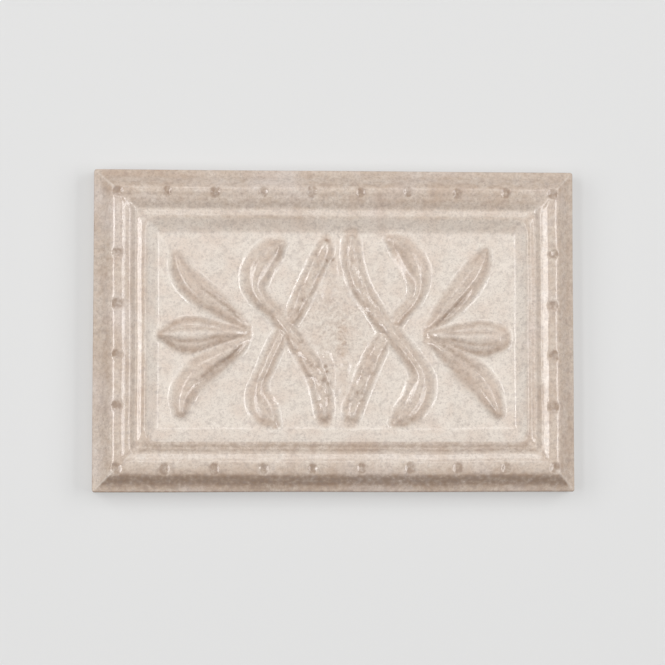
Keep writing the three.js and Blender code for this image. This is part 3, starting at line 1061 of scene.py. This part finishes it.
# %% Floor
FLOOR_HALF = 3.0
SHEET_GREY = (0.35, 0.35, 0.349, 1)
SHEET_ROUGHNESS = 0.9
SHEET_GLOW, GLOW_STRENGTH = (1, 1, 0.995, 1), 0.352

floor_mesh = bpy.data.meshes.new("grey_sheet")
floor_corners = [
    (-FLOOR_HALF, -FLOOR_HALF, 0), (FLOOR_HALF, -FLOOR_HALF, 0),
    (FLOOR_HALF, FLOOR_HALF, 0), (-FLOOR_HALF, FLOOR_HALF, 0)]
floor_mesh.from_pydata(floor_corners, [], [(0, 1, 2, 3)])
floor = bpy.data.objects.new("grey_sheet", floor_mesh)
bpy.context.scene.collection.objects.link(floor)
paper = bpy.data.materials.new("grey_paper")
paper.use_nodes = True
paper_shader = paper.node_tree.nodes["Principled BSDF"]
paper_shader.inputs["Base Color"].default_value = SHEET_GREY
paper_shader.inputs["Roughness"].default_value = SHEET_ROUGHNESS
paper_shader.inputs["Emission Color"].default_value = SHEET_GLOW
paper_shader.inputs["Emission Strength"].default_value = GLOW_STRENGTH
floor_mesh.materials.append(paper)
print("sheet", 2 * FLOOR_HALF, "m wide")

# %% Lights
STUDIO_AIR = 0.08
# name, degrees that it leans right and far, metres away, level and leaning side, watts, reflected
SOFT_LIGHTS = [
    ("left_strip", (-27, 0), 1.3, (1.0, 0.18), 4.4, True),
    ("right_strip", (34, 0), 1.3, (1.0, 0.18), 3.6, True),
    ("far_strip", (0, 30), 1.3, (1.0, 0.14), 1.5, True),
    ("left_box", (-50, 14), 1.3, (1.2, 0.5), 8.2, False),
    ("right_box", (50, 14), 1.3, (1.2, 0.5), 7.0, False),
    ("overhead", (4, 4), 1.7, (0.8, 0.8), 4.5, False),
]


def from_vertical(lean_right, lean_far, distance):
    """A place at a distance from the tile, off the vertical towards +X and +Y by two angles."""
    across_share, far_share = math.tan(math.radians(lean_right)), math.tan(math.radians(lean_far))
    return Vector((across_share, far_share, 1)).normalized() * distance


def soft_light(name, place, size, power, reflected):
    """A rectangular lamp turned towards the tile; size is its level side and its leaning side."""
    lamp = bpy.data.lights.new(name, "AREA")
    lamp.shape = "RECTANGLE"
    lamp.size, lamp.size_y = size
    lamp.energy = power
    holder = bpy.data.objects.new(name, lamp)
    holder.location = place
    holder.rotation_euler = (Vector((0, 0, 0)) - place).to_track_quat("-Z", "Y").to_euler()
    holder.visible_glossy = reflected
    bpy.context.scene.collection.objects.link(holder)


for name, leans, distance, size, power, reflected in SOFT_LIGHTS:
    soft_light(name, from_vertical(*leans, distance), size, power, reflected)

world = bpy.data.worlds.new("studio_air")
world.use_nodes = True
background = world.node_tree.nodes["Background"]
background.inputs["Color"].default_value = (1, 1, 1, 1)
background.inputs["Strength"].default_value = STUDIO_AIR
bpy.context.scene.world = world
print(len(SOFT_LIGHTS), "soft lights")

# %% [markdown]
# ## Camera
# The photo was taken almost straight down with a long lens, from a little left of and below the
# tile's middle. The camera's three directions are worked out with cross products: one towards
# the camera, one to the right of the picture, which a slight roll turns, and one up the picture.

# %% Camera
CAMERA_DISTANCE = 0.95
CAMERA_LEFT, CAMERA_BELOW = 0.083, 0.065
CAMERA_ROLL = 0.0021
LENS, SENSOR = 161.7, 36.0
NEAREST_SEEN = 0.01

camera_height = math.sqrt(1 - CAMERA_LEFT ** 2 - CAMERA_BELOW ** 2)
toward_camera = Vector((-CAMERA_LEFT, -CAMERA_BELOW, camera_height))
eye = toward_camera * CAMERA_DISTANCE
north = Vector((math.sin(CAMERA_ROLL), math.cos(CAMERA_ROLL), 0))
right = north.cross(toward_camera).normalized()
upward = toward_camera.cross(right)
lens = bpy.data.cameras.new("overhead_camera")
lens.lens, lens.sensor_width = LENS, SENSOR
lens.clip_start = NEAREST_SEEN
camera = bpy.data.objects.new("overhead_camera", lens)
camera.rotation_euler = Matrix((right, upward, toward_camera)).transposed().to_euler()
camera.location = eye
bpy.context.scene.collection.objects.link(camera)
bpy.context.scene.camera = camera
bpy.context.scene.view_settings.view_transform = "Standard"
print("camera at", tuple(round(v, 3) for v in eye), "right", tuple(round(v, 3) for v in right))
